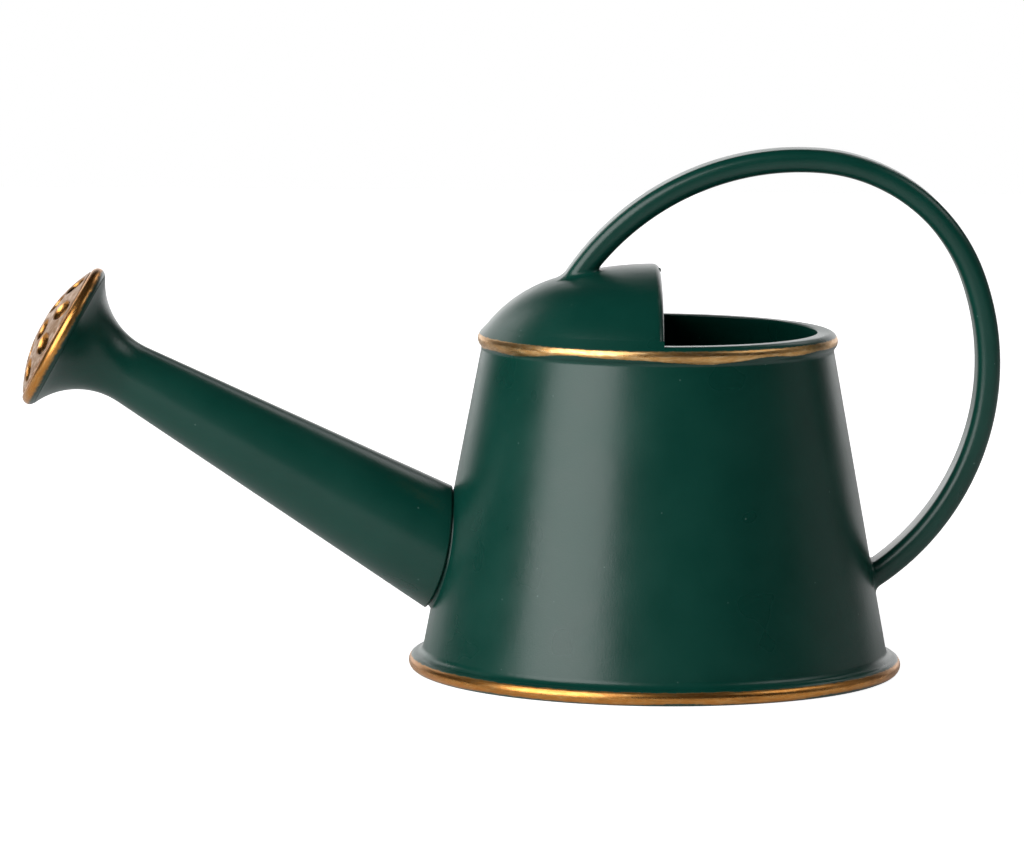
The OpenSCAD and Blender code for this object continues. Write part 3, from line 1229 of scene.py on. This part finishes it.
@dataclass
class Handle:
    """Arched strap from the hood over the mouth to the back of the wall, with its two seams."""

    finish: Finish
    wall: WallLine
    dome: DomeLine
    thick: float = 2.2
    width: float = 5.2
    corner: float = 0.95
    front_seam: float = 0.75
    rear_seam: float = 0.6
    bury: float = 0.45
    front: Arc = Arc(13.5, 23.4, 25.65, 151, 85.65)
    top: Arc = Arc(14.1636, 32.1248, 16.9, 85.65, 20.61)
    rear: Arc = Arc(7.1436, 29.4848, 24.4, 20.61, -60)
    front_foot: Pair = (112, 151)
    rear_foot: Pair = (-20, -60)

    def build(self) -> None:
        """Builds the strap and the seams at its feet."""
        paint = self.finish("handle_enamel", None)
        publish(self.strap(), "handle_band", "handle_strap", paint, Slot.PAINT)
        front = self.seam(self.front, *self.front_foot, self.front_seam, self.dome.within)
        publish(front, "front_foot_cove", "handle_front_seam", paint, Slot.PAINT)
        rear = self.seam(self.rear, *self.rear_foot, self.rear_seam, self.wall.within)
        publish(rear, "rear_foot_cove", "handle_rear_seam", paint, Slot.PAINT)

    def strap(self) -> Mesh:
        """Sweeps the strap's rounded section along its three arcs.

        Returns:
            The mesh.
        """
        bm = bmesh.new()
        size = Matrix.Diagonal((self.thick, self.width, 1, 1))
        bmesh.ops.create_grid(bm, x_segments=1, y_segments=1, size=0.5, matrix=size)
        bmesh.ops.bevel(
            bm,
            geom=bm.verts[:],
            offset=self.corner,
            segments=8,
            profile=0.5,
            affect="VERTICES",
            material=-1,
        )
        bmesh.ops.delete(bm, geom=bm.faces[:], context="FACES_ONLY")
        for v in bm.verts:
            v.co = self.front.at(v.co.x, v.co.y, self.front.start)
        ends = bm.verts[:] + bm.edges[:]
        for piece in (self.front, self.top, self.rear):
            ends = bmesh.ops.spin(
                bm,
                geom=ends,
                cent=(piece.x, 0, piece.z),
                axis=(0, 1, 0),
                angle=math.radians(piece.start - piece.end),
                steps=round(abs(piece.start - piece.end) * 1.5),
            )["geom_last"]
        self.trim(bm)
        bmesh.ops.remove_doubles(bm, verts=bm.verts, dist=WELD)
        bmesh.ops.holes_fill(bm, edges=[e for e in bm.edges if e.is_boundary], sides=0)
        bmesh.ops.recalc_face_normals(bm, faces=bm.faces)
        return bm

    def trim(self, bm: Mesh) -> None:
        """Draws both ends back until they are only just sunk into the hood and the wall.

        Args:
            bm: The strap's mesh.
        """
        for v in bm.verts:
            if v.co.x < self.front.x and self.dome.within(v.co, self.bury):
                out = math.hypot(v.co.x - self.front.x, v.co.z - self.front.z) - self.front.radius
                stop = self.front.pierce(
                    out, v.co.y, lambda p: self.dome.within(p, self.bury), *self.front_foot
                )
                v.co = self.front.at(out, v.co.y, stop)
            elif v.co.z < self.rear.z and self.wall.within(v.co, self.bury):
                out = math.hypot(v.co.x - self.rear.x, v.co.z - self.rear.z) - self.rear.radius
                stop = self.rear.pierce(
                    out, v.co.y, lambda p: self.wall.within(p, self.bury), *self.rear_foot
                )
                v.co = self.rear.at(out, v.co.y, stop)

    def edge_point(self, turn: float) -> tuple[Vector, Vector]:
        """Walks around the strap's section.

        Args:
            turn: Angle from 0 to a full turn, in proportion to the way walked.

        Returns:
            The point and the outward direction, as thickness and width.
        """
        flat_t = self.thick - 2 * self.corner
        flat_w = self.width - 2 * self.corner
        quarter = math.pi / 2 * self.corner
        way = (turn % math.tau) / math.tau * (2 * (flat_t + flat_w) + 4 * quarter)
        for side in range(4):
            flat = flat_w if side % 2 == 0 else flat_t
            turned = Matrix.Rotation(math.pi / 2 * side, 2)
            reach = (self.thick if side % 2 == 0 else self.width) / 2
            if way <= flat:
                return turned @ Vector((reach, way - flat / 2)), turned @ Vector((1, 0))
            way -= flat
            if way <= quarter:
                a = way / self.corner
                out = Vector((math.cos(a), math.sin(a)))
                middle = Vector((reach - self.corner, flat / 2))
                return turned @ (middle + out * self.corner), turned @ out
            way -= quarter
        return Vector((self.thick / 2, -flat_w / 2)), Vector((1, 0))

    def seam(
        self, piece: Arc, free: float, deep: float, size: float, within: DepthTest
    ) -> Mesh:
        """Builds the hollow seam around one foot of the strap.

        Args:
            piece: Arc that the foot is part of.
            free: An angle of that arc above the surface.
            deep: An angle below it.
            size: How far the seam reaches up the strap and out over the surface.
            within: Tells whether a point lies below the surface by a depth.

        Returns:
            The mesh.
        """

        def place(turn: float, grow: float, depth: float, rise: float) -> Vector:
            """Gives a point beside the strap.

            Args:
                turn: Angle around the strap's section.
                grow: How far the point lies out from the strap.
                depth: How far below the surface it lies.
                rise: How far it is then moved back along the strap.

            Returns:
                The point.
            """
            point, out = self.edge_point(turn)
            point = point + out * grow
            angle = piece.pierce(point.x, point.y, lambda p: within(p, depth), free, deep)
            back = math.degrees(rise / piece.radius) * (1 if free > deep else -1)
            return piece.at(point.x, point.y, angle + back)

        def hollow(t: float) -> Station:
            """Makes a ring of the hollow, from the strap at 0 to the surface at 1."""
            return lambda turn: (
                place(turn, 0, 0, size) * (1 - t) ** 2
                + place(turn, 0, 0, 0) * (2 * t * (1 - t))
                + place(turn, size, 0.02, 0) * t**2
            )

        rows = [hollow(i / 8) for i in range(9)]
        rows.append(lambda turn: place(turn, size, 0.25, 0))
        rows.append(lambda turn: place(turn, -0.35, 0.25, 0))
        rows.append(lambda turn: place(turn, -0.35, 0, size))
        return lofted(rows, 96)


# ---------------------------------------------------------------- stage


@dataclass(frozen=True)
class Softbox:
    """Rectangular light that faces the can, with lengths in metres and power in watts.

    The bearing runs from -Y towards +X and the rise from the horizon up, both in degrees.
    """

    name: str
    bearing: float
    rise: float
    away: float
    size: Pair
    power: float

    def hang(self) -> None:
        """Makes the light and hangs it in its place."""
        light = bpy.data.lights.new(self.name, "AREA")
        light.shape = "RECTANGLE"
        light.size, light.size_y = self.size
        light.energy = self.power
        b, r = math.radians(self.bearing), math.radians(self.rise)
        way = Vector((math.sin(b) * math.cos(r), -math.cos(b) * math.cos(r), math.sin(r)))
        lamp = bpy.data.objects.new(self.name, light)
        lamp.location = way * self.away + Vector((0, 0, 0.02))
        lamp.rotation_euler = way.to_track_quat("Z", "Y").to_euler()
        bpy.context.scene.collection.objects.link(lamp)


@dataclass
class Studio:
    """Pale floor and backdrop, soft lights and the camera.

    The floor and the backdrop shine by themselves: floor_glow is what the camera sees of the floor, and
    floor_spill is what falls from it on the can.
    """

    elevation: float = 6.62
    azimuth: float = -0.3
    roll: float = 0.46
    distance: float = 571.3
    lens: float = 209.9
    aim: tuple[float, float, float] = (0.14, 0.0, -1.81)
    floor_size: float = 0.6
    floor_glow: float = 0.95
    floor_spill: float = 0.16
    dim: float = 0.010
    backdrop_glow: float = 1.6
    lights: tuple[Softbox, ...] = (
        Softbox("key", -50, 26, 0.9, (0.78, 0.9), 10.4),
        Softbox("fill", 100, 12, 1.0, (0.6, 0.9), 0.35),
        Softbox("right_high", 78, 42, 0.9, (0.5, 0.3), 1.0),
        Softbox("back_left", -141, 27, 0.9, (0.32, 0.26), 0.36),
        Softbox("back_right", 150, 42, 0.9, (0.3, 0.3), 0.5),
    )

    def build(self) -> None:
        """Builds the stage and sets the camera."""
        self.make_floor()
        self.make_world()
        for light in self.lights:
            light.hang()
        self.make_camera()

    def make_floor(self) -> None:
        """Lays a plain white floor under the can."""
        bm = bmesh.new()
        bmesh.ops.create_grid(bm, x_segments=1, y_segments=1, size=self.floor_size)
        bmesh.ops.translate(bm, vec=(0, 0, -0.02 * MM), verts=bm.verts)
        mesh = bpy.data.meshes.new("floor")
        bm.to_mesh(mesh)
        bm.free()
        floor = bpy.data.objects.new("floor", mesh)
        bpy.context.scene.collection.objects.link(floor)
        paint = bpy.data.materials.new("floor_white")
        paint.use_nodes = True
        bench = Bench(paint.node_tree)
        shader = paint.node_tree.nodes["Principled BSDF"]
        seen = bench.add("ShaderNodeLightPath").outputs["Is Camera Ray"]
        shader.inputs["Base Color"].default_value = (0.7, 0.7, 0.7, 1)
        shader.inputs["Roughness"].default_value = 0.9
        shader.inputs["Specular IOR Level"].default_value = 0.0
        shader.inputs["Emission Color"].default_value = (1, 1, 1, 1)
        glow = bench.blend(seen, self.floor_spill, self.floor_glow)
        bench.tree.links.new(glow, shader.inputs["Emission Strength"])
        mesh.materials.append(paint)
        floor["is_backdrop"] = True

    def make_world(self) -> None:
        """Makes the world: white to the camera, bright low behind the can and dim elsewhere."""
        world = bpy.data.worlds.new("studio")
        bpy.context.scene.world = world
        world.use_nodes = True
        bench = Bench(world.node_tree)
        sky = world.node_tree.nodes["Background"]
        way = bench.add("ShaderNodeTexCoord").outputs["Generated"]
        split = bench.add("ShaderNodeSeparateXYZ", {0: way}).outputs
        low = bench.ramp(bench.math("MULTIPLY", split["Z"], -1), -0.45, -0.15)
        behind = bench.math("MULTIPLY", bench.ramp(split["Y"], 0.66, 0.93), low)
        glow = bench.blend(behind, self.dim, self.backdrop_glow)
        seen = bench.add("ShaderNodeLightPath").outputs["Is Camera Ray"]
        bench.tree.links.new(bench.blend(seen, glow, 1.0), sky.inputs["Strength"])
        sky.inputs["Color"].default_value = (1, 1, 1, 1)

    def make_camera(self) -> None:
        """Aims a long lens at the middle of the can."""
        low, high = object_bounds()
        target = (low + high) / 2
        target.y = 0
        target += Vector(self.aim) * MM
        a, e = math.radians(self.azimuth), math.radians(self.elevation)
        back = Vector((math.sin(a) * math.cos(e), -math.cos(a) * math.cos(e), math.sin(e)))
        lens = bpy.data.cameras.new("camera")
        lens.lens = self.lens
        lens.sensor_width = 36
        lens.clip_start, lens.clip_end = 0.01, 50
        camera = bpy.data.objects.new("camera", lens)
        camera.location = target + back * self.distance * MM
        camera.rotation_mode = "QUATERNION"
        tip = Quaternion((0, 0, 1), math.radians(self.roll))
        camera.rotation_quaternion = (-back).to_track_quat("-Z", "Y") @ tip
        bpy.context.scene.collection.objects.link(camera)
        bpy.context.scene.camera = camera
        bpy.context.scene.view_settings.view_transform = "Standard"


def main() -> None:
    logging.basicConfig(level=logging.INFO, format="%(message)s")
    enamel = Enamel()
    groups = {"skin": paint_skin_group(), "band": brushed_band_group()}
    wall, dome, line = WallLine(), DomeLine(), SpoutLine()

    def finish(name: str, band: Band | None) -> Material:
        """Makes the enamel of one piece."""
        return enamel.material(name, groups, line, band)

    body = Body(finish, wall, line)
    parts = [
        body,
        Hood(finish, dome, body.rim_centre, body.rim_wire_r),
        Spout(finish, line, wall),
        Rose(finish, line),
        Handle(finish, wall, dome),
        Studio(),
    ]
    for part in parts:
        part.build()


if __name__ == "__main__":
    main()
